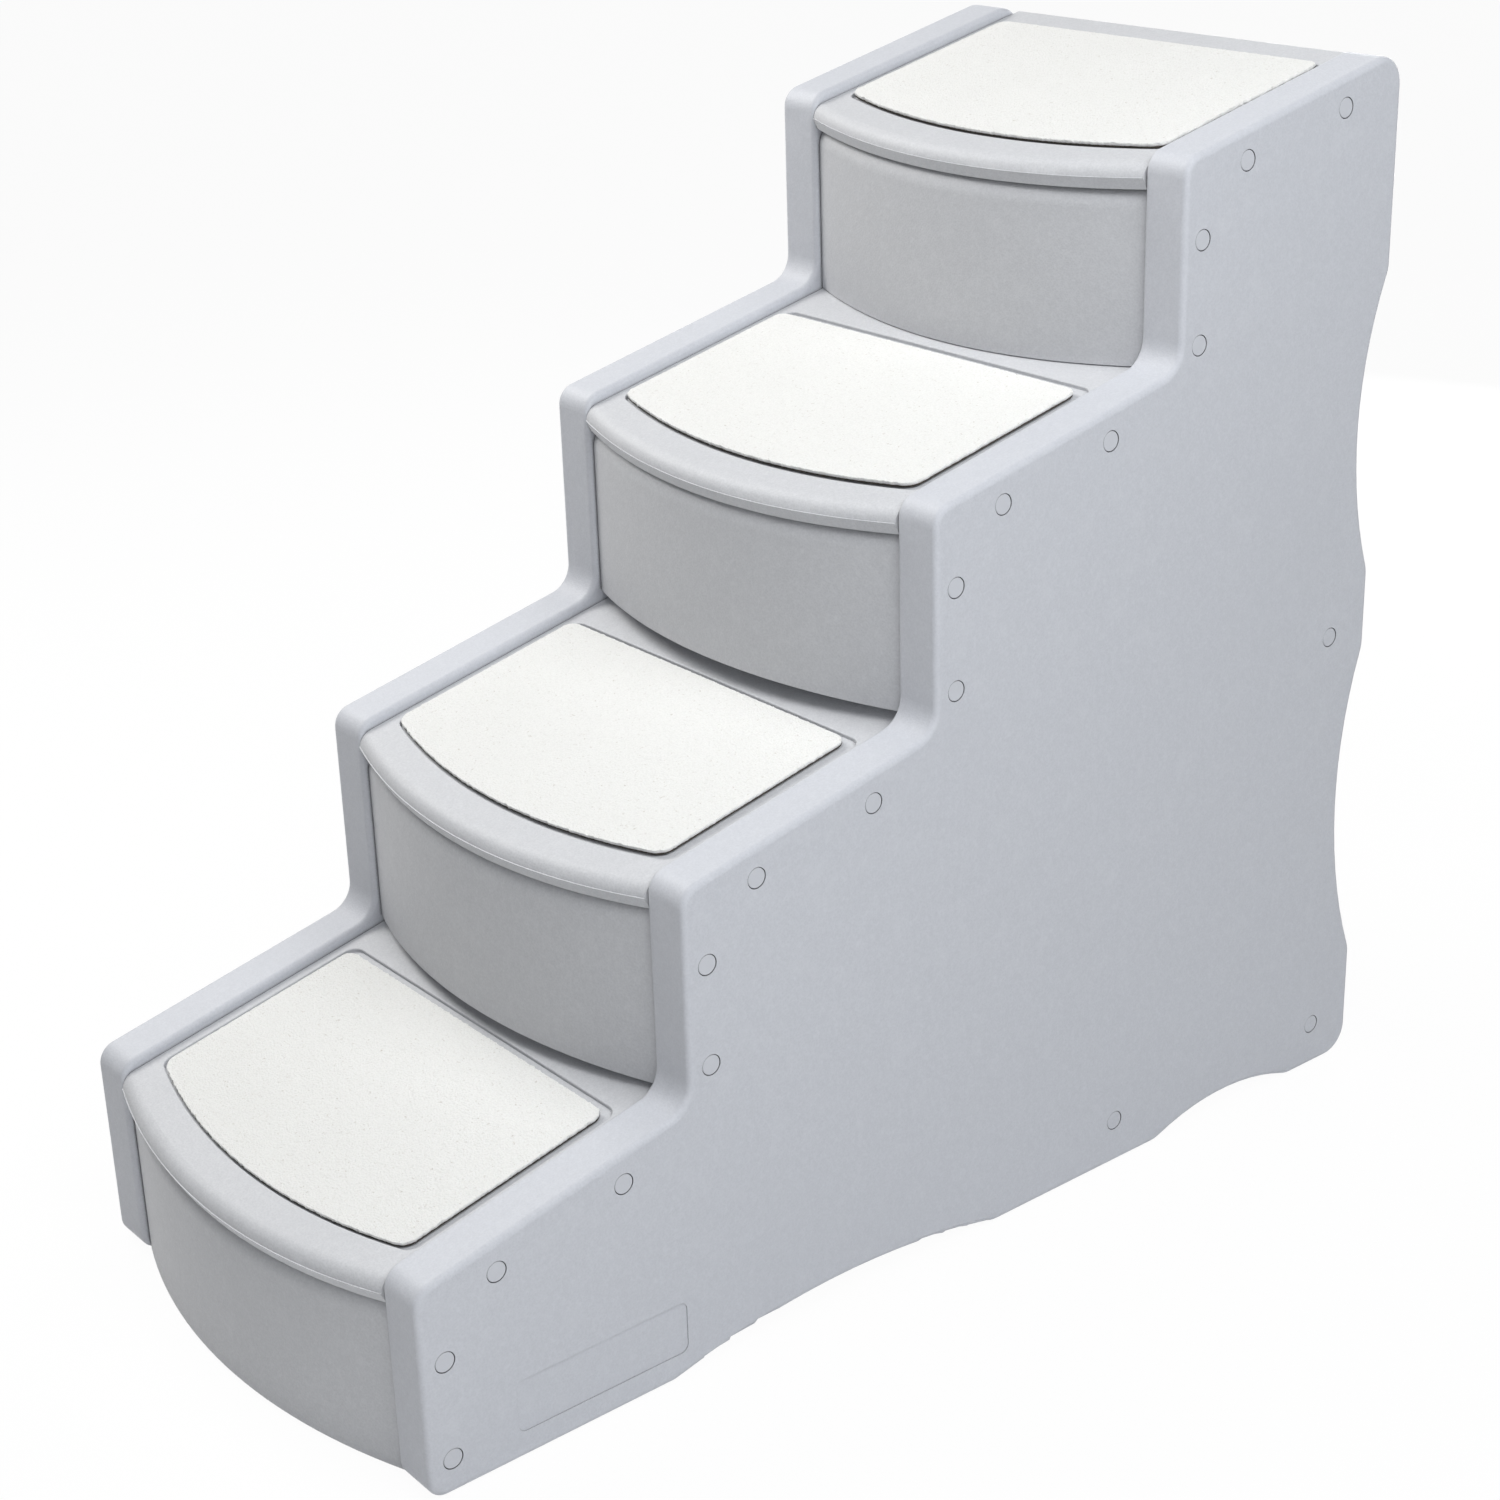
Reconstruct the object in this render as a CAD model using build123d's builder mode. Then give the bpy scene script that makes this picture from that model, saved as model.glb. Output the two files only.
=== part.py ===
from build123d import *
import os
from math import asin, cos, pi, radians, sin, sqrt, tan

# Pet stairs: two side panels hold four bowed treads and four bowed risers on round pegs.
# +X is across the stairs, +Y runs from the front to the back, +Z is up. The origin is on
# the floor, at the middle of the stairs' width and length. Millimetres.

# Steps
step_count = 4
going = 209.5  # level distance from one tread to the next
rise = 194.3
top_going = 219.8  # the last step is a little longer and lower than the others
top_rise = 185.8
tread_tilt = 12.4  # degrees, each tread climbs to the back
first_peg_height = 142.0  # front peg of the first tread, above the floor

# Side panels
overall_width = 406.0
panel_thickness = 36.5
panel_top = 20.5  # top line above the tread pegs, square to the tread
front_reach = 58.5  # panel front ahead of the tread's front peg
rear_reach = 154.8  # panel rear behind the top tread's front peg
skin = 3.0
rim_wall = 3.5
lip_width = 30.0
lip_thickness = 4.0
outer_edge_radius = 4.5
inner_edge_radius = 4.0
nosing_corner_radius = 15.0
inside_corner_radius = 20.0
toe_corner_radius = 12.0
heel_corner_radius = 22.0
crown_corner_radius = 20.0
blend_radius = 24.0  # where arches and scallops run into the flats

# Floor arches, along the bottom edge from the first peg line to the back
front_flat_end = 130.0
front_arch_length = 285.0
front_arch_height = 17.0
middle_flat_length = 165.0
rear_arch_length = 146.0
rear_arch_height = 14.0

# Scallops in the rear edge, heights above the panel's bottom edge
lower_scallop_start = 88.0
lower_scallop_end = 338.0
lower_scallop_depth = 25.0
upper_scallop_start = 398.0
upper_scallop_end = 618.0
upper_scallop_depth = 23.5
bulge_inset = 5.0

# Ribs inside the panels
panel_rib = 2.4
panel_rib_pitch_y = 86.0
panel_rib_pitch_z = 86.0
panel_rib_relief = 4.0  # the ribs stop this short of the lip

# Bare plate sunk in the outer face, low on the first step
plate_start = 7.5
plate_length = 133.5
plate_bottom = 19.0
plate_height = 38.0
plate_corner = 6.0
plate_depth = 0.6

# Pegs and sockets
peg_radius = 7.0
peg_bore = 4.2
peg_clearance = 0.35
peg_end_inset = 0.2
peg_bevel = 0.5  # round the edge of a peg's tip
peg_end_wall = 3.0
socket_wall = 3.2
end_clearance = 0.6  # between a panel and the end of a tread, riser or bar
rear_peg_spacing = 99.1  # from a tread's front peg to its rear peg
riser_peg_setback = 41.0  # riser pegs, ahead of the tread's front peg
riser_upper_peg_drop = 45.9
riser_peg_spacing = 70.2

# Treads
rim_height = 13.0  # tread rim above the peg axis
nose_drop = 3.6  # underside of the nose below the peg axis
nose_reach = 88.4  # parting line ahead of the front peg, on the middle line
bow_radius = 500.0
nose_radius = 11.0
nose_lip_height = 8.9  # from the underside up to the parting line
nose_lip_lean = 2.4  # the lower face leans back by this much
nose_ledge = 0.7  # small step at the parting line
nose_wall = 5.5
skirt_front = 20.0
skirt_drop = 12.0
deck_wall = 3.0
deck_back = 178.0
top_deck_inset = 0.6  # back of the top tread, ahead of the panels' rear line
top_deck_radius = 3.0
end_wall = 3.5
tread_rib = 2.4
tread_rib_short = 3.0  # the ribs stop this short of the skirt's lower edge
tread_ribs_across = 5
tread_ribs_along = 2

# Mats, their recess and the hook tape
mat_reach = 53.8  # mat front ahead of the front peg, on the middle line
mat_back = 126.2
mat_corner = 9.0
mat_shifts = [(0.0, 0.0), (-4.7, 1.3), (-3.4, 1.8), (-1.5, 2.1)]  # across, up the tread
mat_growths = [(0.0, 0.0), (0.4, 0.8), (3.0, -3.5), (6.7, 3.7)]  # cut wider, cut longer
recess_depth = 2.8
recess_end_margin = 7.9  # tread rim left at each end of the recess
recess_side_gap = 5.2
recess_front_gap = 1.2
recess_back_gap = 6.6
recess_corner = 10.0
recess_edge_radius = 1.0
tape_end_margin = 48.0  # from the ends of a mat to its hook tape
tape_width = 25.0
tape_thickness = 1.2
tape_front = 8.0  # middle of the front strip ahead of the front peg
tape_spacing = 92.0
tape_corner = 3.0
mat_seat_gap = 0.2
backing_thickness = 1.2
pile_thickness = 2.4
pile_edge = 0.6

# Risers
riser_reach = 84.0  # riser face ahead of the front peg, on the middle line
riser_bow_radius = 470.0
riser_depth_end = 28.0  # open back of the riser, ahead of the front peg
riser_wall = 3.0
riser_top_radius = 15.0
riser_gap = 0.6  # under the nose
riser_seat_gap = 1.0  # over the tread below
riser_feet = [139.4, 141.5, 138.0, 146.0]  # level underside, below the tread's front peg
riser_rib = 2.4
riser_ribs = 3

# Cross bars
bar_depth = 26.0
bar_height = 30.0
bar_wall = 3.0
bar_corner = 3.0
upper_bar_behind = 748.5  # behind the first tread's front peg
upper_bar_height = 355.5
lower_bar_behind = 751.5
lower_bar_height = 36.0
floor_bar_behind = 534.5

# Grip pads under the panel's floor flats
grip_width = 22.0
grip_thickness = 2.8
grip_proud = 1.0
grip_end_margin = 9.0
grip_corner = 2.0
grip_clearance = 0.1

overrun = 5.0  # how far cutting shapes run past what they cut

# Sizes that follow from those above
outer_face = overall_width / 2
inner_face = outer_face - panel_thickness
part_half = inner_face - end_clearance
peg_tip = outer_face - peg_end_inset
tilt = radians(tread_tilt)
nose_lip_top = nose_lip_height - nose_drop
nose_overhang = nose_reach * cos(tilt) + nose_lip_top * sin(tilt)
rear_line = (step_count - 2) * going + top_going + rear_reach
first_peg_y = (nose_overhang - rear_line) / 2
panel_bottom = grip_proud
recess_floor = rim_height - recess_depth
deck_ceiling = recess_floor - deck_wall
recess_half = part_half - recess_end_margin
mat_half = recess_half - recess_side_gap
tape_length = 2 * (mat_half - tape_end_margin)
mat_seat = recess_floor + tape_thickness + mat_seat_gap


def peg_y(step):
    whole = min(step, step_count - 2) * going
    return first_peg_y + whole + (top_going if step == step_count - 1 else 0)


def peg_z(step):
    whole = min(step, step_count - 2) * rise
    return first_peg_height + whole + (top_rise if step == step_count - 1 else 0)


def tread_plane(step, height=0):
    """Plane on a tread's front peg axis: x across, y up the tread, z square to it."""
    plane = Plane((0, peg_y(step), peg_z(step)), x_dir=(1, 0, 0), z_dir=(0, -sin(tilt), cos(tilt)))
    return plane.offset(height)


def tread_point(step, along, height):
    """(Y, Z) of a point given along and square to a tread."""
    y = peg_y(step) + along * cos(tilt) - height * sin(tilt)
    z = peg_z(step) + along * sin(tilt) + height * cos(tilt)
    return (y, z)


def tread_pegs(step):
    return [tread_point(step, 0, 0), tread_point(step, rear_peg_spacing, 0)]


def riser_pegs(step):
    y = peg_y(step) - riser_peg_setback
    upper = peg_z(step) - riser_upper_peg_drop
    return [(y, upper), (y, upper - riser_peg_spacing)]


upper_bar_peg = (first_peg_y + upper_bar_behind, upper_bar_height)
lower_bar_peg = (first_peg_y + lower_bar_behind, lower_bar_height)
floor_bar_peg = (first_peg_y + floor_bar_behind, lower_bar_height)
bar_pegs = [upper_bar_peg, lower_bar_peg, floor_bar_peg]
all_pegs = bar_pegs + [
    peg for step in range(step_count) for peg in tread_pegs(step) + riser_pegs(step)
]


# Side panels


def top_line(step, y):
    """Height of a panel's top line over one tread."""
    return peg_z(step) + panel_top / cos(tilt) + (y - peg_y(step)) * tan(tilt)


def panel_face(sketch):
    """Draw the outline of a side panel, Y across and Z up, in a sketch."""
    rear = first_peg_y + rear_line
    bottom = panel_bottom
    fronts = [peg_y(step) - front_reach for step in range(step_count)]
    arch_1_start = first_peg_y + front_flat_end
    arch_1_end = arch_1_start + front_arch_length
    arch_2_start = arch_1_end + middle_flat_length
    arch_2_end = arch_2_start + rear_arch_length
    low_1 = bottom + lower_scallop_start
    low_2 = bottom + lower_scallop_end
    up_1 = bottom + upper_scallop_start
    up_2 = bottom + upper_scallop_end
    bulge = rear - bulge_inset

    steps = [(arch_1_start, bottom), (fronts[0], bottom)]
    radii = [toe_corner_radius]
    for step in range(step_count):
        if step > 0:
            steps.append((fronts[step], top_line(step - 1, fronts[step])))
            radii.append(inside_corner_radius)
        steps.append((fronts[step], top_line(step, fronts[step])))
        radii.append(nosing_corner_radius)
    steps.append((rear, top_line(step_count - 1, rear)))
    radii.append(crown_corner_radius)
    steps.append((rear, up_2))
    corners = [
        (arch_1_start, bottom), (arch_1_end, bottom), (arch_2_start, bottom), (arch_2_end, bottom),
        (rear, low_1), (bulge, low_2), (bulge, up_1), (rear, up_2),
    ]

    with BuildLine() as border:
        FilletPolyline(*steps, radius=radii)
        upper_middle = (rear - upper_scallop_depth, (up_1 + up_2) / 2)
        ThreePointArc((rear, up_2), upper_middle, (bulge, up_1))
        Line((bulge, up_1), (bulge, low_2))
        lower_middle = (rear - lower_scallop_depth, (low_1 + low_2) / 2)
        ThreePointArc((bulge, low_2), lower_middle, (rear, low_1))
        FilletPolyline((rear, low_1), (rear, bottom), (arch_2_end, bottom), radius=heel_corner_radius)
        arch_2_middle = ((arch_2_start + arch_2_end) / 2, bottom + rear_arch_height)
        ThreePointArc((arch_2_end, bottom), arch_2_middle, (arch_2_start, bottom))
        Line((arch_2_start, bottom), (arch_1_end, bottom))
        arch_1_middle = ((arch_1_start + arch_1_end) / 2, bottom + front_arch_height)
        ThreePointArc((arch_1_end, bottom), arch_1_middle, (arch_1_start, bottom))
    make_face(border.edges())
    blends = [sketch.vertices().sort_by_distance((y, z, 0))[0] for y, z in corners]
    fillet(blends, blend_radius)


def grip_flats():
    """(Start, end) of the three floor flats, along Y."""
    rear = first_peg_y + rear_line
    front = first_peg_y - front_reach
    flat_1_end = first_peg_y + front_flat_end
    flat_2_start = flat_1_end + front_arch_length
    flat_2_end = flat_2_start + middle_flat_length
    flat_3_start = flat_2_end + rear_arch_length
    return [
        (front + toe_corner_radius, flat_1_end),
        (flat_2_start, flat_2_end),
        (flat_3_start, rear - heel_corner_radius),
    ]


def grip_block(start, end, clearance):
    """Pad, or with no clearance its pocket, under one floor flat of the right panel."""
    middle = (inner_face + inner_edge_radius + outer_face - outer_edge_radius) / 2
    length = end - start - 2 * grip_end_margin
    with BuildPart() as block:
        with BuildSketch(Plane.XY.offset(0 if clearance else -overrun)):
            with Locations((middle, (start + end) / 2)):
                RectangleRounded(grip_width - 2 * clearance, length - 2 * clearance, grip_corner)
        top = grip_thickness - clearance
        extrude(amount=top if clearance else top + overrun)
    return block.part


with BuildPart() as panel_core:
    with BuildSketch(Plane.YZ.offset(inner_face + lip_thickness)) as outline:
        panel_face(outline)
        offset(amount=-rim_wall, kind=Kind.INTERSECTION, mode=Mode.REPLACE)
    extrude(amount=panel_thickness - lip_thickness - skin)
    rib_base = inner_face + lip_thickness + panel_rib_relief
    ribs_y = int(rear_line / panel_rib_pitch_y) + 1
    ribs_z = int(peg_z(step_count - 1) / panel_rib_pitch_z) + 1
    with BuildSketch(Plane.YZ.offset(rib_base)):
        for rib in range(ribs_y):
            y = first_peg_y + rib * panel_rib_pitch_y
            with Locations((y, peg_z(step_count - 1) / 2)):
                Rectangle(panel_rib, 2 * peg_z(step_count - 1))
        for rib in range(ribs_z):
            with Locations((0, first_peg_height / 2 + rib * panel_rib_pitch_z)):
                Rectangle(2 * rear_line, panel_rib)
    extrude(amount=panel_thickness, mode=Mode.SUBTRACT)
    with BuildSketch(Plane.YZ.offset(inner_face)):
        with Locations(*all_pegs):
            Circle(peg_radius + peg_clearance + socket_wall)
    extrude(amount=panel_thickness, mode=Mode.SUBTRACT)

with BuildPart() as panel_window:
    with BuildSketch(Plane.YZ.offset(inner_face - overrun)) as outline:
        panel_face(outline)
        offset(amount=-lip_width, kind=Kind.INTERSECTION, mode=Mode.REPLACE)
    extrude(amount=overrun + lip_thickness)
    with BuildSketch(Plane.YZ.offset(inner_face - overrun)):
        with Locations(*all_pegs):
            Circle(peg_radius + peg_clearance + socket_wall)
    extrude(amount=2 * overrun + lip_thickness, mode=Mode.SUBTRACT)

with BuildPart() as right_side_panel:
    with BuildSketch(Plane.YZ.offset(inner_face)) as outline:
        panel_face(outline)
    extrude(amount=panel_thickness)
    fillet(right_side_panel.faces().sort_by(Axis.X)[-1].edges(), outer_edge_radius)
    fillet(right_side_panel.faces().sort_by(Axis.X)[0].edges(), inner_edge_radius)
    add(panel_core.part, mode=Mode.SUBTRACT)
    add(panel_window.part, mode=Mode.SUBTRACT)
    with BuildSketch(Plane.YZ.offset(inner_face - overrun)):
        with Locations(*all_pegs):
            Circle(peg_radius + peg_clearance)
    extrude(amount=panel_thickness + 2 * overrun, mode=Mode.SUBTRACT)
    with BuildSketch(Plane.YZ.offset(outer_face)):
        plate_middle = (
            first_peg_y + plate_start + plate_length / 2,
            panel_bottom + plate_bottom + plate_height / 2,
        )
        with Locations(plate_middle):
            RectangleRounded(plate_length, plate_height, plate_corner)
    extrude(amount=-plate_depth, mode=Mode.SUBTRACT)
    for start, end in grip_flats():
        add(grip_block(start, end, 0), mode=Mode.SUBTRACT)

with BuildPart() as left_side_panel:
    add(mirror(right_side_panel.part, about=Plane.YZ))


# Treads and mats


def sagitta(half, radius):
    return radius - sqrt(radius**2 - half**2)


def bowed_face(half, reach, back, radius):
    """Plan with a bowed front edge, straight ends and a straight back."""
    side = sagitta(half, radius) - reach
    with BuildLine() as border:
        ThreePointArc((-half, side), (0, -reach), (half, side))
        Polyline((half, side), (half, back), (-half, back), (-half, side))
    make_face(border.edges())


def add_pegs(points, wall):
    """Hollow pegs with closed tips at both ends of the piece being built."""
    root = part_half - wall / 2
    mouth = part_half - wall - overrun
    for side in (1, -1):
        with BuildSketch(Plane.YZ.offset(side * root)) as pegs:
            with Locations(*points):
                Circle(peg_radius)
        extrude(pegs.sketch, amount=side * (peg_tip - root))
        with BuildSketch(Plane.YZ.offset(side * mouth)) as bores:
            with Locations(*points):
                Circle(peg_bore)
        bore_length = peg_tip - peg_end_wall - mouth
        extrude(bores.sketch, amount=side * bore_length, mode=Mode.SUBTRACT)
    ends = edges().group_by(Axis.X)
    chamfer(ends[0] + ends[-1], peg_bevel)


def spaced(count, length):
    """Even places between two walls, none on a wall."""
    return [length * (place + 1) / (count + 1) - length / 2 for place in range(count)]


def trim_back(inset):
    """Cut the top tread off upright, ahead of the panels' rear line."""
    back = first_peg_y + rear_line - top_deck_inset - inset
    split(bisect_by=Plane((0, back, 0), z_dir=(0, 1, 0)), keep=Keep.BOTTOM)


def make_tread_core(step):
    """The hollow under a tread, with slots where its ribs stand."""
    half = part_half - end_wall
    front = deck_wall - skirt_front
    back = deck_back - deck_wall
    middle = (front + back) / 2
    with BuildPart() as core:
        with BuildSketch(tread_plane(step, -skirt_drop - overrun)):
            with Locations((0, middle)):
                Rectangle(2 * half, back - front)
        extrude(amount=overrun + skirt_drop + deck_ceiling)
        with BuildSketch(tread_plane(step, -nose_drop - overrun)):
            bowed_face(half, nose_reach - nose_wall, -skirt_front, bow_radius)
        extrude(amount=overrun + nose_drop + deck_ceiling)
        with BuildSketch(tread_plane(step, tread_rib_short - skirt_drop)):
            for x in spaced(tread_ribs_across, 2 * half):
                with Locations((x, middle)):
                    Rectangle(tread_rib, 2 * back)
            for along in spaced(tread_ribs_along, back - front):
                with Locations((0, middle + along)):
                    Rectangle(2 * half, tread_rib)
        extrude(amount=skirt_drop + rim_height, mode=Mode.SUBTRACT)
        if step == step_count - 1:
            trim_back(deck_wall)
    return core.part


def nose_trim(step):
    """What a nose loses to its rounded top, the parting line and the leaning face below."""
    centre_y, centre_z = tread_point(step, bow_radius - nose_reach, 0)
    section = Plane(
        (0, centre_y, centre_z), x_dir=(0, -cos(tilt), -sin(tilt)), z_dir=(-1, 0, 0)
    )
    round_middle = rim_height - nose_radius
    lowest = asin((nose_lip_top - round_middle) / nose_radius)
    halfway = (lowest + pi / 2) / 2
    ledge = bow_radius - nose_ledge
    top = ledge - nose_radius * cos(lowest)
    foot = bow_radius - nose_lip_lean
    with BuildPart() as trim:
        with BuildSketch(section):
            with BuildLine() as border:
                ThreePointArc(
                    (top, rim_height),
                    (top + nose_radius * cos(halfway), round_middle + nose_radius * sin(halfway)),
                    (ledge, nose_lip_top),
                )
                Polyline(
                    (ledge, nose_lip_top),
                    (bow_radius, nose_lip_top),
                    (foot, -nose_drop),
                    (foot, -nose_drop - overrun),
                    (bow_radius + overrun, -nose_drop - overrun),
                    (bow_radius + overrun, rim_height + overrun),
                    (top, rim_height + overrun),
                    (top, rim_height),
                )
            make_face(border.edges())
        revolve(axis=Axis(section.origin, section.y_dir))
    return trim.part


def make_tread(step):
    core = make_tread_core(step)
    with BuildPart() as tread:
        with BuildSketch(tread_plane(step, -nose_drop)):
            bowed_face(part_half, nose_reach + nose_ledge, deck_back, bow_radius + nose_ledge)
        extrude(amount=nose_drop + rim_height)
        add(nose_trim(step), mode=Mode.SUBTRACT)
        with BuildSketch(tread_plane(step, -skirt_drop)):
            with Locations((0, (deck_back - skirt_front) / 2)):
                Rectangle(2 * part_half, deck_back + skirt_front)
        extrude(amount=skirt_drop - nose_drop)
        if step == step_count - 1:
            trim_back(0)
            fillet(tread.edges().filter_by(Axis.X).sort_by(Axis.Z)[-1], top_deck_radius)
        add(core, mode=Mode.SUBTRACT)
        with BuildSketch(tread_plane(step, recess_floor)) as recess:
            recess_reach = mat_reach + recess_front_gap
            bowed_face(recess_half, recess_reach, mat_back + recess_back_gap, bow_radius)
            fillet(recess.vertices(), recess_corner)
        extrude(amount=recess_depth, mode=Mode.SUBTRACT)
        square = Axis(tread_plane(step).origin, tread_plane(step).z_dir)
        rim = tread.faces().sort_by(square)[-1]
        fillet(rim.inner_wires()[0].edges(), recess_edge_radius)
        add_pegs(tread_pegs(step), end_wall)
    return tread.part


def make_mat_layer(step, bottom, thickness, edge):
    wider, longer = mat_growths[step]
    with BuildSketch() as outline:
        bowed_face(mat_half + wider / 2, mat_reach, mat_back + longer, bow_radius)
        fillet(outline.vertices(), mat_corner)
    with BuildPart() as layer:
        with BuildSketch(tread_plane(step, bottom)):
            with Locations(mat_shifts[step]):
                add(outline.sketch)
        extrude(amount=thickness)
        if edge:
            plane = tread_plane(step)
            square = Axis(plane.origin, plane.z_dir)
            fillet(layer.faces().sort_by(square)[-1].edges(), edge)
    return layer.part


def make_tape(step):
    """Two strips of hook tape on the recess floor, under the mat."""
    with BuildPart() as tape:
        with BuildSketch(tread_plane(step, recess_floor)):
            with Locations((0, -tape_front), (0, tape_spacing - tape_front)):
                RectangleRounded(tape_length, tape_width, tape_corner)
        extrude(amount=tape_thickness)
    return tape.part


# Risers


def riser_block(step, inset, end_inset):
    """A bowed block from the tread below to the nose above, drawn in by a wall."""
    low = peg_z(step) - riser_feet[step] + inset
    open_back = overrun if inset else 0
    plane = tread_plane(step)
    with BuildPart() as block:
        with BuildSketch(Plane((0, peg_y(step), low))):
            half = part_half - end_inset
            bowed_face(half, riser_reach - inset, open_back - riser_depth_end, riser_bow_radius)
        extrude(amount=peg_z(step) - low)
        under_nose = tread_plane(step, -nose_drop - riser_gap - inset)
        split(bisect_by=under_nose, keep=Keep.BOTTOM)
        if step > 0:
            on_tread = tread_plane(step - 1, rim_height + riser_seat_gap + inset)
            split(bisect_by=on_tread, keep=Keep.TOP)
        square = Axis(plane.origin, plane.z_dir)
        top_edges = block.faces().sort_by(square)[-1].edges()
        fillet(top_edges.sort_by(Axis.Y)[0], riser_top_radius - inset)
    return block


def make_riser(step):
    core = riser_block(step, riser_wall, end_wall)
    shell = riser_block(step, 0, 0)
    with BuildPart() as hollow:
        add(core.part)
        with BuildSketch(Plane((0, peg_y(step), 0))):
            for x in spaced(riser_ribs, 2 * part_half):
                with Locations((x, -riser_reach)):
                    Rectangle(riser_rib, 2 * (riser_reach - riser_depth_end))
        extrude(amount=peg_z(step), mode=Mode.SUBTRACT)
    with BuildPart() as riser:
        add(shell.part)
        add(hollow.part, mode=Mode.SUBTRACT)
        add_pegs(riser_pegs(step), end_wall)
    return riser.part


# Cross bars


def make_bar(peg):
    """A channel bar, open below, with one peg at each end."""
    with BuildPart() as bar:
        with BuildSketch(Plane.YZ):
            with Locations(peg):
                RectangleRounded(bar_depth, bar_height, bar_corner)
        extrude(amount=part_half, both=True)
        with BuildSketch(Plane.YZ):
            with Locations((peg[0], peg[1] - bar_wall)):
                Rectangle(bar_depth - 2 * bar_wall, bar_height)
        extrude(amount=part_half - end_wall, both=True, mode=Mode.SUBTRACT)
        add_pegs([peg], end_wall)
    return bar.part


def save(part, name):
    part.label = name
    export_step(part, f"parts/{name}.step")
    print(name, len(part.solids()), round(part.volume))


os.makedirs("parts", exist_ok=True)
save(right_side_panel.part, "right_side_panel")
save(left_side_panel.part, "left_side_panel")
for step in range(step_count):
    number = step + 1
    save(make_tread(step), f"tread_{number}")
    save(make_riser(step), f"riser_{number}")
    save(make_tape(step), f"hook_tape_{number}")
    save(make_mat_layer(step, mat_seat, backing_thickness, 0), f"mat_backing_{number}")
    pile_bottom = mat_seat + backing_thickness
    save(make_mat_layer(step, pile_bottom, pile_thickness, pile_edge), f"mat_pile_{number}")
save(make_bar(upper_bar_peg), "upper_rear_tie_bar")
save(make_bar(lower_bar_peg), "lower_rear_tie_bar")
save(make_bar(floor_bar_peg), "floor_tie_bar")
for place, (start, end) in zip(("front", "middle", "rear"), grip_flats()):
    grip = grip_block(start, end, grip_clearance)
    save(grip, f"right_{place}_grip")
    save(mirror(grip, about=Plane.YZ), f"left_{place}_grip")
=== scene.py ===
import math

import bmesh
import bpy
from mathutils import Matrix, Vector, noise


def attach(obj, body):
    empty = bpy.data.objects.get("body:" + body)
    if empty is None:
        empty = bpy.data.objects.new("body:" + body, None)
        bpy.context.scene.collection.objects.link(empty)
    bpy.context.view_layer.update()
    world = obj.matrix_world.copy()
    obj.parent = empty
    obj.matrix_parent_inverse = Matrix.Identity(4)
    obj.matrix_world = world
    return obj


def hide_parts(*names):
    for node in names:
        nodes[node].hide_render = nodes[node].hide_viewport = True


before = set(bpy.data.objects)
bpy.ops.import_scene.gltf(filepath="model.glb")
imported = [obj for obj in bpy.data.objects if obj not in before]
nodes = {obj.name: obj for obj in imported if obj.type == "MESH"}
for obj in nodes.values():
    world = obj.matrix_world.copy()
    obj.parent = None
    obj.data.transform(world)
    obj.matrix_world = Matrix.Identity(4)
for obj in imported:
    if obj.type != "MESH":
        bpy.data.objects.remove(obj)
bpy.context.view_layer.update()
print("frame loaded:", len(nodes), "nodes")


# Lines of shader maths: a wire is one output socket, and sums on wires add Math nodes.
class Wire:
    def __init__(self, finish, socket):
        self.finish = finish
        self.socket = socket

    def maths(self, operation, first, second=0.0, clamp=False):
        settings = {"operation": operation, "use_clamp": clamp}
        return self.finish.node("ShaderNodeMath", settings, {0: first, 1: second})

    def __add__(self, other):
        return self.maths("ADD", self, other)

    def __radd__(self, other):
        return self.maths("ADD", other, self)

    def __sub__(self, other):
        return self.maths("SUBTRACT", self, other)

    def __rsub__(self, other):
        return self.maths("SUBTRACT", other, self)

    def __mul__(self, other):
        return self.maths("MULTIPLY", self, other)

    def __rmul__(self, other):
        return self.maths("MULTIPLY", other, self)

    def within(self):
        return self.maths("ADD", self, 0.0, clamp=True)


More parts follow.
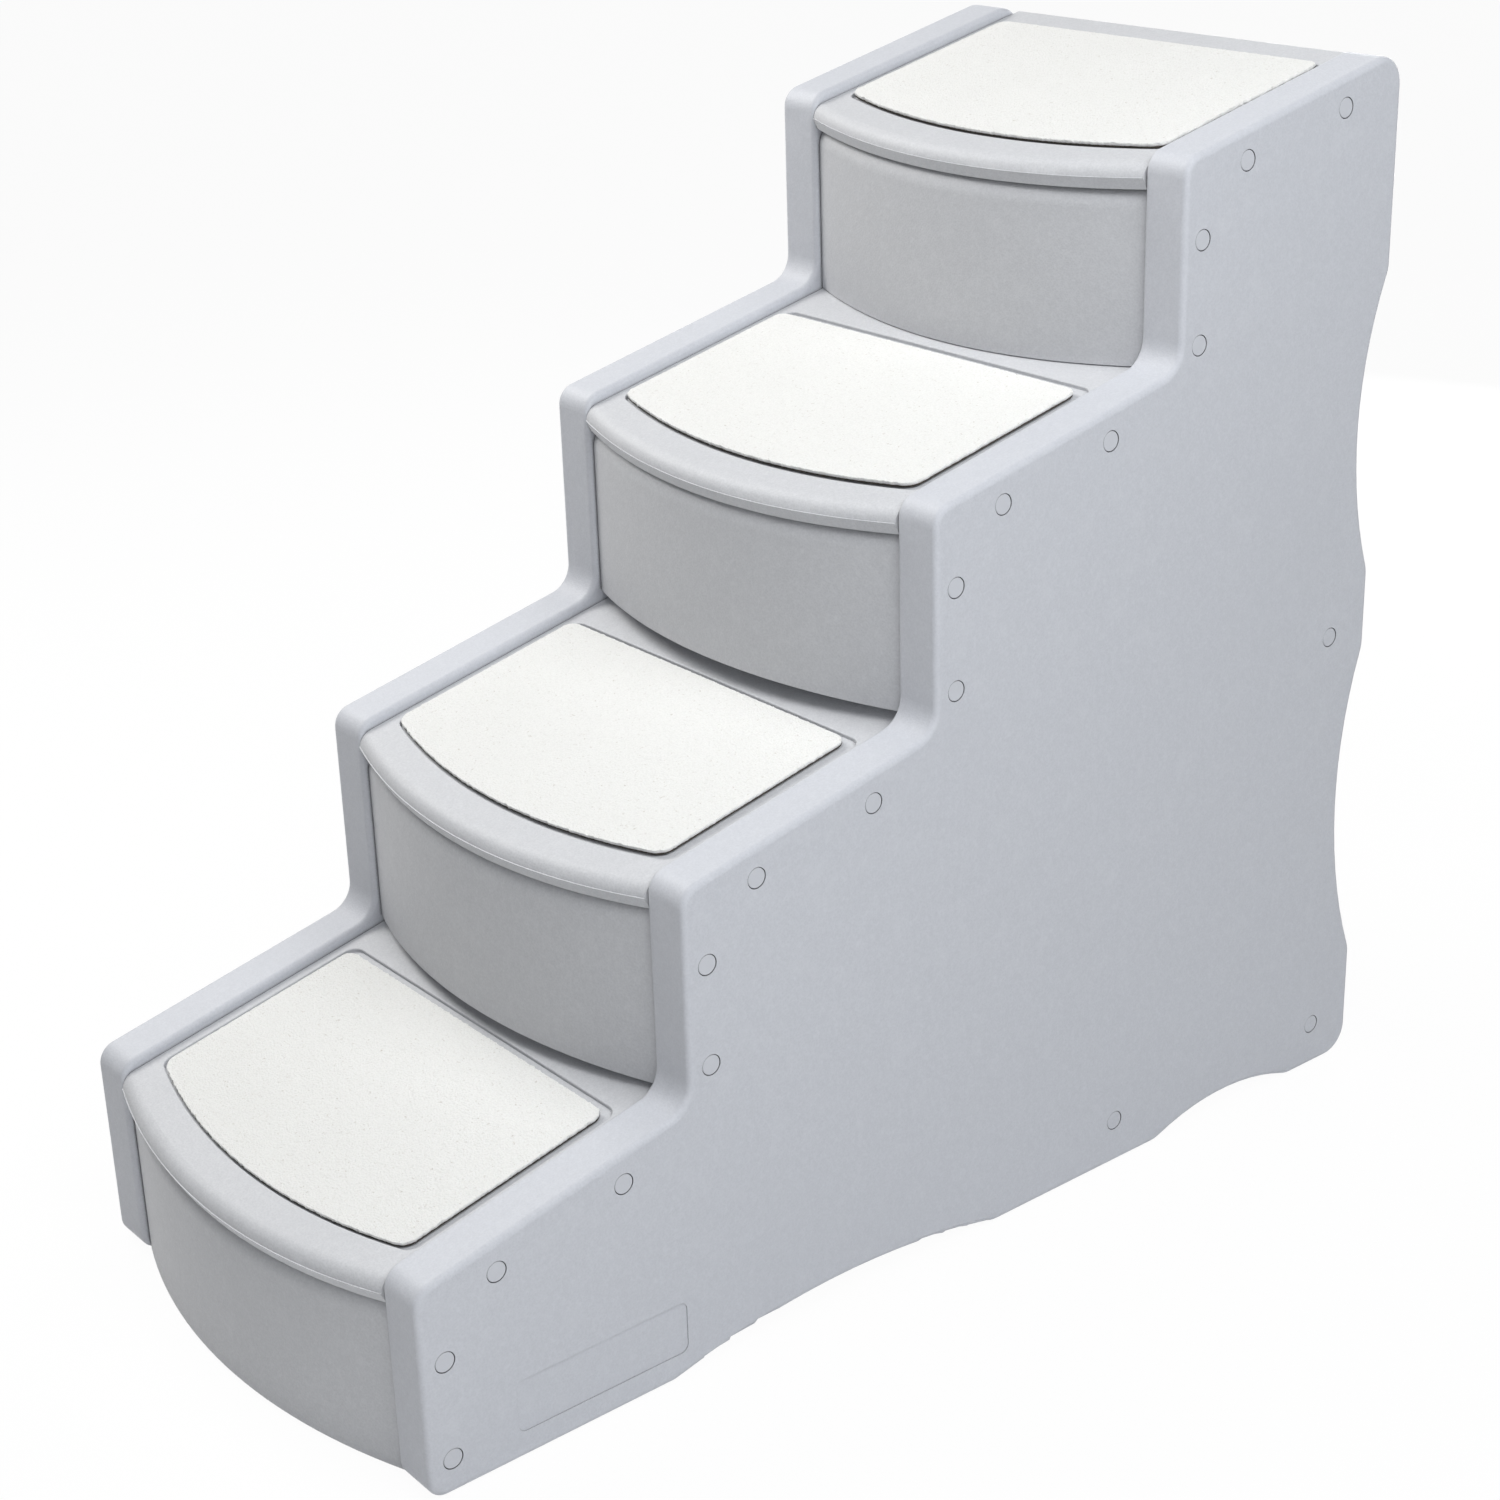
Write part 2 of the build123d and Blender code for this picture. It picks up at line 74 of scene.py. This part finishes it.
# A material under construction. node() sets a node's settings first, then its sockets.
class Finish:
    def __init__(self, name):
        self.material = bpy.data.materials.new(name)
        self.material.use_nodes = True
        self.tree = self.material.node_tree
        self.tree.nodes.clear()

    def node(self, kind, settings=None, sockets=None, output=0):
        made = self.tree.nodes.new(kind)
        for key, value in (settings or {}).items():
            setattr(made, key, value)
        for key, value in (sockets or {}).items():
            if isinstance(value, Wire):
                self.tree.links.new(value.socket, made.inputs[key])
            else:
                made.inputs[key].default_value = value
        return Wire(self, made.outputs[output])

    def place(self):
        return self.node("ShaderNodeTexCoord", output="Object")

    def clouds(self, where, scale, detail=2.0, rough=0.5):
        sockets = {"Vector": where, "Scale": scale, "Detail": detail, "Roughness": rough}
        return self.node("ShaderNodeTexNoise", {}, sockets)

    def pebbles(self, where, scale):
        sockets = {"Vector": where, "Scale": scale, "Smoothness": 0.6}
        return self.node("ShaderNodeTexVoronoi", {"feature": "SMOOTH_F1"}, sockets)

    def blend(self, factor, first, second):
        mix = self.tree.nodes.new("ShaderNodeMix")
        mix.data_type = "RGBA"
        for index, value in ((0, factor), (6, first), (7, second)):
            if isinstance(value, Wire):
                self.tree.links.new(value.socket, mix.inputs[index])
            else:
                mix.inputs[index].default_value = value if index == 0 else (*value, 1.0)
        return Wire(self, mix.outputs[2])

    def bump(self, height, depth, strength=1.0):
        sockets = {"Height": height, "Distance": depth, "Strength": strength}
        return self.node("ShaderNodeBump", {}, sockets)

    def close(self, sockets):
        shader = self.node("ShaderNodeBsdfPrincipled", {}, sockets)
        self.putOut(shader)
        return self.material

    def putOut(self, shader):
        end = self.tree.nodes.new("ShaderNodeOutputMaterial")
        self.tree.links.new(shader.socket, end.inputs["Surface"])


# The moulded shell: pale cool grey, a fine pebble grain from the mould's texture
shellFinish = {
    "colour": (0.576, 0.592, 0.634),
    "fleck": (0.510, 0.525, 0.566),
    "scuff": (0.600, 0.615, 0.652),
    "grain": 700.0,  # pebbles to a metre
    "fine": 1500.0,
    "mottle": 230.0,
    "wear": 55.0,
    "broad": 7.0,
    "grainDepth": 0.00007,
    "roughness": 0.56,
    "shine": 0.4,
    "seamShade": (0.11, 0.11, 0.115),  # painted shade in seams and crevices, laid on by ambient occlusion
    "seamReach": 0.003,
    "seamRays": 6,
}
stepFinish = dict(
    shellFinish,
    colour=(0.588, 0.597, 0.620),
    fleck=(0.498, 0.507, 0.531),
    scuff=(0.612, 0.620, 0.642),
    grainDepth=0.00008,
    shine=0.32,
    pegEnds=0.167,  # metres from the middle, where the panel's colour takes over
    pegBlend=900.0,  # one over the width of the change, in metres
    pegColour=(0.552, 0.567, 0.607),
)


def mouldedPlastic(name, sizes):
    look = Finish(name)
    where = look.place()
    pebble = look.pebbles(where, sizes["grain"])
    fine = look.clouds(where, sizes["fine"])
    mottle = look.clouds(where, sizes["mottle"], 3.0, 0.6)
    broad = look.clouds(where, sizes["broad"], 3.0)
    worn = look.clouds(where, sizes["wear"], 4.0, 0.65)
    grain = (pebble * 1.3 - 0.15).within()
    speckle = (grain * 0.7 + (fine - 0.5) * 0.5 + (mottle - 0.5) * 0.9 + 0.1).within()
    colour = look.blend(speckle, sizes["fleck"], sizes["colour"])
    colour = look.blend(((worn - 0.52) * 1.6).within(), colour, sizes["scuff"])
    # painted shade: an ambient occlusion mask darkens the colour in seams and crevices, on the
    # step pieces only round the peg ends
    rays, reach = {"samples": sizes["seamRays"]}, {"Distance": sizes["seamReach"]}
    clear = look.node("ShaderNodeAmbientOcclusion", rays, reach, "AO")
    seamShade = 1.0 - ((clear - 0.25) * 1.9).within()
    if "pegEnds" in sizes:
        across = look.node("ShaderNodeSeparateXYZ", {}, {"Vector": where})
        aside = across.maths("ABSOLUTE", across)
        outside = ((aside - sizes["pegEnds"]) * sizes["pegBlend"]).within()
        colour = look.blend(outside, colour, sizes["pegColour"])
        seamShade = seamShade * outside
    colour = look.blend(((broad - 0.5) * 0.7).within(), colour, sizes["fleck"])
    colour = look.blend(seamShade, colour, sizes["seamShade"])
    rough = sizes["roughness"] + (worn - 0.5) * 0.12 + (broad - 0.5) * 0.06
    relief = look.bump(grain + fine * 0.35 + mottle * 0.8, sizes["grainDepth"])
    sockets = {"Base Color": colour, "Roughness": rough, "Normal": relief}
    sockets.update({"IOR": 1.49, "Specular IOR Level": sizes["shine"]})
    return look.close(sockets)


# The white carpet pile, and the dark felt under it
pileFinish = {
    "colour": (0.824, 0.825, 0.811),
    "shade": (0.715, 0.715, 0.700),
    "fleck": (0.46, 0.42, 0.37),
    "tuft": 780.0,  # tufts to a metre
    "fibre": 2400.0,
    "spot": 420.0,
    "trodden": 16.0,
    "depth": 0.0007,
    "roughness": 0.95,
}
feltFinish = {
    "colour": (0.040, 0.033, 0.027),
    "thread": (0.090, 0.078, 0.066),
    "weave": 103.333,
    "fuzz": 1900.0,
    "depth": 0.0003,
    "roughness": 0.93,
}
tapeFinish = dict(
    feltFinish,
    colour=(0.62, 0.63, 0.62),
    thread=(0.50, 0.51, 0.50),
    weave=150.0,
)
gripFinish = {
    "colour": (0.040, 0.040, 0.042),
    "dust": (0.095, 0.093, 0.090),
    "grain": 900.0,
    "dusting": 90.0,
    "depth": 0.0001,
    "roughness": 0.72,
}


def carpetPile(name, sizes):
    look = Finish(name)
    where = look.place()
    tuft = look.pebbles(where, sizes["tuft"])
    fibre = look.clouds(where, sizes["fibre"], 3.0, 0.7)
    spot = look.clouds(where, sizes["spot"])
    trodden = look.clouds(where, sizes["trodden"], 3.0)
    dip = (tuft * 1.5 - 0.25).within()
    deep = (dip * 0.55 + (fibre - 0.5) * 0.5).within()
    # painted shade: the pile darkens in the dips between tufts
    colour = look.blend(deep, sizes["colour"], sizes["shade"])
    colour = look.blend(((spot - 0.64) * 7.0).within() * 0.6, colour, sizes["fleck"])
    colour = look.blend(((trodden - 0.5) * 0.5).within(), colour, sizes["shade"])
    relief = look.bump(1.0 - dip * 0.7 + fibre * 0.6, sizes["depth"], 0.7)
    sockets = {"Base Color": colour, "Roughness": sizes["roughness"], "Normal": relief}
    sockets.update({"Sheen Weight": 0.25, "Sheen Roughness": 0.5, "Specular IOR Level": 0.15})
    return look.close(sockets)


def wovenFelt(name, sizes):
    look = Finish(name)
    where = look.place()
    threads = []
    for direction in ("X", "Y"):
        wave = {"wave_type": "BANDS", "bands_direction": direction}
        sockets = {"Vector": where, "Scale": sizes["weave"], "Distortion": 0.6}
        threads.append(look.node("ShaderNodeTexWave", wave, sockets))
    fuzz = look.clouds(where, sizes["fuzz"], 3.0, 0.7)
    cloth = fuzz.maths("MAXIMUM", *threads)
    raised = (cloth * 0.6 + (fuzz - 0.4) * 0.6).within()
    colour = look.blend(raised, sizes["colour"], sizes["thread"])
    relief = look.bump(cloth + fuzz * 0.8, sizes["depth"])
    sockets = {"Base Color": colour, "Roughness": sizes["roughness"], "Normal": relief}
    sockets["Specular IOR Level"] = 0.2
    return look.close(sockets)


def gripRubber(name, sizes):
    look = Finish(name)
    where = look.place()
    grain = look.pebbles(where, sizes["grain"])
    dust = look.clouds(where, sizes["dusting"], 4.0, 0.6)
    colour = look.blend(((dust - 0.5) * 2.0).within(), sizes["colour"], sizes["dust"])
    rough = sizes["roughness"] + (dust - 0.5) * 0.25
    relief = look.bump(grain, sizes["depth"])
    return look.close({"Base Color": colour, "Roughness": rough, "Normal": relief})


panelPlastic = mouldedPlastic("panel plastic", shellFinish)
stepPlastic = mouldedPlastic("step plastic", stepFinish)
pileCarpet = carpetPile("carpet pile", pileFinish)
backingFelt = wovenFelt("backing felt", feltFinish)
hookNylon = wovenFelt("hook nylon", tapeFinish)
padRubber = gripRubber("pad rubber", gripFinish)


def dress(piece, material):
    piece.data.materials.clear()
    piece.data.materials.append(material)


for name, node in nodes.items():
    if name.endswith("panel") or name.endswith("bar"):
        dress(node, panelPlastic)
    elif name.startswith("tread") or name.startswith("riser"):
        dress(node, stepPlastic)
    elif name.startswith("hook"):
        dress(node, hookNylon)
    elif name.endswith("grip"):
        dress(node, padRubber)
print("finishes made")


# Where each tread's front peg is, and how the mats lie on the treads, in metres
stairs = {
    "pegY": [-0.353062, -0.143562, 0.065938, 0.285738],
    "pegZ": [0.142, 0.3363, 0.5306, 0.7164],
    "tilt": math.radians(12.4),
}
mat = {
    "half": 0.1528,  # half the width
    "reach": 0.0538,  # from the front peg to the front edge, at the middle
    "back": 0.1262,  # from the front peg to the back edge
    "corner": 0.009,
    "bow": 0.5,  # radius of the front edge
    "shifts": [(0.0, 0.0), (-0.0047, 0.0013), (-0.0034, 0.0018), (-0.0015, 0.0021)],
    "growths": [(0.0, 0.0), (0.0004, 0.0008), (0.003, -0.0035), (0.0067, 0.0037)],  # wider, longer
    "seat": 0.0116,  # underside of the backing above the peg line, square to the tread
    "backing": 0.0012,
    "pile": 0.0024,
    "roll": 0.0006,  # rounding of the pile's rim
    "flare": 0.0008,  # height of the rim's widest line over the backing
    "cell": 0.0014,  # spacing of the pile's points
    "turn": 10,  # rows in each rounded corner
    "bevel": 0.0003,  # on the backing's edges
    "area": 0.052,
    "relief": [(640, 0.0, 0.00016), (170, 5.0, 0.00014), (14, 9.0, 0.00022)],  # tuft, clump, swell
    "level": -0.0001,
    "frays": [(640, 0.0, 0.0009), (260, 4.0, 0.0010)],  # waves to a metre, draw, depth
    "calm": 0.4,  # share of the fraying above and below the cut edge
    "sag": (520, 9.0, 0.0006),
    "draws": (3.7, 7.1),  # step from one mat's noise to the next, on top and at the edge
}


def onTread(step, x, along, height):
    lean = stairs["tilt"]
    y = stairs["pegY"][step] + along * math.cos(lean) - height * math.sin(lean)
    z = stairs["pegZ"][step] + along * math.sin(lean) + height * math.cos(lean)
    return Vector((x, y, z))


# Rows of (across, along) points that fill the mat's outline, drawn in by inset
def matRows(step, inset):
    wider, longer = mat["growths"][step]
    half = mat["half"] + wider / 2 - inset
    corner = mat["corner"] - inset
    bow = mat["bow"] - inset
    back = mat["back"] + longer - inset
    length = mat["reach"] + back - inset
    last = mat["turn"] - 1
    turns = [corner * (1 - math.cos(math.radians(90.0 * k / last))) for k in range(last + 1)]
    straight = length - 2 * corner
    steps = int(straight / mat["cell"])
    depths = turns + [corner + straight * k / steps for k in range(1, steps)]
    depths += [length - d for d in reversed(turns)]
    columns = int(2 * half / mat["cell"])
    rows = []
    for depth in depths:
        side = min(depth, length - depth)
        if side < corner:
            reach = half - corner + math.sqrt(max(corner ** 2 - (corner - side) ** 2, 0.0))
        else:
            reach = half
        row = []
        for k in range(columns + 1):
            x = reach * (2.0 * k / columns - 1.0)
            front = bow - math.sqrt(bow ** 2 - x ** 2) - mat["reach"] + inset
            share = depth / length
            row.append((x, front + share * (back - front)))
        rows.append(row)
    return rows


def matRim(rows):
    rim = list(rows[0])
    rim += [row[-1] for row in rows[1:-1]]
    rim += list(reversed(rows[-1]))
    rim += [row[0] for row in reversed(rows[1:-1])]
    return rim


def rimNormals(rim):
    normals = []
    for k in range(len(rim)):
        before, after = rim[k - 1], rim[(k + 1) % len(rim)]
        away = Vector((after[1] - before[1], before[0] - after[0]))
        normals.append(away.normalized())
    return normals


def pieceFrom(name, mesh, material, body, smooth=True):
    data = bpy.data.meshes.new(name)
    bmesh.ops.recalc_face_normals(mesh, faces=mesh.faces)
    mesh.to_mesh(data)
    mesh.free()
    if smooth:
        data.polygons.foreach_set("use_smooth", [True] * len(data.polygons))
    piece = bpy.data.objects.new(name, data)
    bpy.context.scene.collection.objects.link(piece)
    data.materials.append(material)
    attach(piece, body)
    return piece


# Height of the pile's tips: tufts, clumps and a slow swell where the mat isn't pressed flat
def pileRelief(step, x, along):
    height = mat["level"]
    for waves, draw, depth in mat["relief"]:
        place = Vector((x * waves, along * waves, mat["draws"][0] * step + draw))
        height += depth * noise.noise(place)
    return height


# Waviness of the cut edge, at a distance run round the rim
def fray(step, run, wave):
    waves, draw, depth = wave
    return depth * noise.noise(Vector((run * waves, draw, step * mat["draws"][1])))


def makePile(step):
    rows = matRows(step, mat["roll"])
    shiftX, shiftY = mat["shifts"][step]
    low = mat["seat"] + mat["backing"]
    top = low + mat["pile"]
    mesh = bmesh.new()

    def point(x, along, height):
        return mesh.verts.new(onTread(step, x + shiftX, along + shiftY, height))

    grid = [[point(x, s, top + pileRelief(step, x, s)) for x, s in row] for row in rows]
    for lower, upper in zip(grid, grid[1:]):
        for k in range(len(lower) - 1):
            mesh.faces.new((lower[k], lower[k + 1], upper[k + 1], upper[k]))
    rim, loop = matRim(rows), matRim(grid)
    normals = rimNormals(rim)
    roll = mat["roll"]
    rings = [
        (0.6, top - 0.1 * roll),
        (1.0, top - 0.6 * roll),
        (1.1, low + mat["flare"]),
        (0.4, low),
    ]
    last = loop
    for index, (out, height) in enumerate(rings):
        ring, run = [], 0.0
        for k, ((x, s), normal) in enumerate(zip(rim, normals)):
            run += (Vector(rim[k]) - Vector(rim[k - 1])).length if k else 0.0
            cutEdge = index in (1, 2)
            ragged = sum(fray(step, run, wave) for wave in mat["frays"])
            reach = out * roll + ragged * (1.0 if cutEdge else mat["calm"])
            lift = fray(step, run, mat["sag"]) if cutEdge else 0.0
            ring.append(point(x + normal.x * reach, s + normal.y * reach, height + lift))
        for k in range(len(ring)):
            mesh.faces.new((last[k - 1], last[k], ring[k], ring[k - 1]))
        last = ring
    mesh.faces.new(last)
    name = f"matPile{step + 1}"
    piece = pieceFrom(name, mesh, pileCarpet, f"mat_{step + 1}")
    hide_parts(f"mat_pile_{step + 1}")
    return piece


def makeBacking(step):
    bevel = mat["bevel"]
    rows = matRows(step, bevel)
    shiftX, shiftY = mat["shifts"][step]
    rim = matRim(rows)
    normals = rimNormals(rim)
    mesh = bmesh.new()
    last, first = None, None
    low = mat["seat"]
    top = low + mat["backing"]
    for out, height in ((-bevel, low), (0.0, low + bevel), (0.0, top - bevel), (-bevel, top)):
        ring = []
        for (x, s), normal in zip(rim, normals):
            across = x + normal.x * out + shiftX
            along = s + normal.y * out + shiftY
            ring.append(mesh.verts.new(onTread(step, across, along, height)))
        if last:
            for k in range(len(ring)):
                mesh.faces.new((last[k - 1], last[k], ring[k], ring[k - 1]))
        first, last = first or ring, ring
    mesh.faces.new(first)
    mesh.faces.new(last)
    name = f"matBacking{step + 1}"
    piece = pieceFrom(name, mesh, backingFelt, f"mat_{step + 1}", smooth=False)
    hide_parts(f"mat_backing_{step + 1}")
    return piece


for step in range(4):
    backing = makeBacking(step)
    pile = makePile(step)
    print("mat", step + 1, "made:", len(pile.data.vertices), "points")


# Floor, light and camera
studio = {
    "world": 0.02,
    "target": (0.0, 0.0, 0.38),
    "distance": 2.2,
    "lampSize": 1.3,
    "lamps": [  # name, degrees round from +X to -Y, degrees up, power, colour
        ("right", 0.0, 47.0, 28.0, (0.975, 0.99, 1.0)),
        ("left", 166.0, 42.0, 36.5, (1.0, 0.985, 0.955)),
        ("low front", 38.0, 25.0, 10.3, (0.965, 0.98, 1.0)),
        ("rear", 248.0, 9.0, 24.0, (0.98, 0.99, 1.0)),
        ("high front", 42.0, 60.0, 11.4, (0.985, 0.99, 1.0)),
    ],
    "floorColour": (0.86, 0.86, 0.86),
    "floorSize": 9.0,
    "floorGlow": 0.96,  # share of plain white, the rest takes the shadow
}


def aim(thing, place, target):
    away = Vector(place) - Vector(target)
    turned = away.to_track_quat("Z", "Y").to_matrix().to_4x4()
    thing.matrix_world = Matrix.Translation(place) @ turned


# 1 where a ray comes from the camera, off a gloss or through glass, and 0 elsewhere
def directRays(look):
    kinds = ("Is Camera Ray", "Is Glossy Ray", "Is Transmission Ray")
    seen, shine, through = [look.node("ShaderNodeLightPath", output=kind) for kind in kinds]
    return (seen + shine + through).within()


for name, turn, lift, power, colour in studio["lamps"]:
    lamp = bpy.data.lights.new(name, "AREA")
    lamp.shape = "DISK"
    lamp.size = studio["lampSize"]
    lamp.energy = power
    lamp.color = colour
    holder = bpy.data.objects.new(name, lamp)
    bpy.context.scene.collection.objects.link(holder)
    turn, lift = math.radians(turn), math.radians(lift)
    level = math.cos(lift)
    away = Vector((math.cos(turn) * level, -math.sin(turn) * level, math.sin(lift)))
    aim(holder, Vector(studio["target"]) + away * studio["distance"], studio["target"])

floorMesh = bmesh.new()
bmesh.ops.create_grid(floorMesh, x_segments=2, y_segments=2, size=studio["floorSize"])
floorData = bpy.data.meshes.new("floor")
floorMesh.to_mesh(floorData)
floorMesh.free()
floor = bpy.data.objects.new("floor", floorData)
bpy.context.scene.collection.objects.link(floor)

floorLook = Finish("studio floor")
matte = floorLook.node("ShaderNodeBsdfDiffuse", {}, {"Color": (*studio["floorColour"], 1.0)})
glow = floorLook.node("ShaderNodeEmission", {}, {"Color": (1.0, 1.0, 1.0, 1.0), "Strength": 1.0})
bright = directRays(floorLook) * studio["floorGlow"]
floorLook.putOut(floorLook.node("ShaderNodeMixShader", {}, {0: bright, 1: matte, 2: glow}))
floorData.materials.append(floorLook.material)

world = bpy.data.worlds.new("studio")
bpy.context.scene.world = world
world.use_nodes = True
air = Finish("air")
air.tree = world.node_tree
air.tree.nodes.clear()
strength = directRays(air) * (1.0 - studio["world"]) + studio["world"]
sky = air.node("ShaderNodeBackground", {}, {"Color": (1.0, 1.0, 1.0, 1.0), "Strength": strength})
end = air.tree.nodes.new("ShaderNodeOutputWorld")
air.tree.links.new(sky.socket, end.inputs["Surface"])

view = {
    "place": (1.4063, -1.1007, 1.0680),
    "azimuth": 51.585,
    "elevation": 22.82,
    "roll": -1.87,
    "lens": 66.09,
    "shift": (0.0007, 0.0013),
}
cameraData = bpy.data.cameras.new("camera")
cameraData.sensor_width = 36.0
cameraData.lens = view["lens"]
cameraData.shift_x, cameraData.shift_y = view["shift"]
cameraData.clip_start = 0.05
cameraData.clip_end = 60.0
camera = bpy.data.objects.new("camera", cameraData)
bpy.context.scene.collection.objects.link(camera)
camera.matrix_world = (
    Matrix.Translation(view["place"])
    @ Matrix.Rotation(math.radians(view["azimuth"]), 4, "Z")
    @ Matrix.Rotation(math.radians(90.0 - view["elevation"]), 4, "X")
    @ Matrix.Rotation(math.radians(view["roll"]), 4, "Z")
)
bpy.context.scene.camera = camera
bpy.context.scene.view_settings.view_transform = "Standard"
print("studio and camera set")
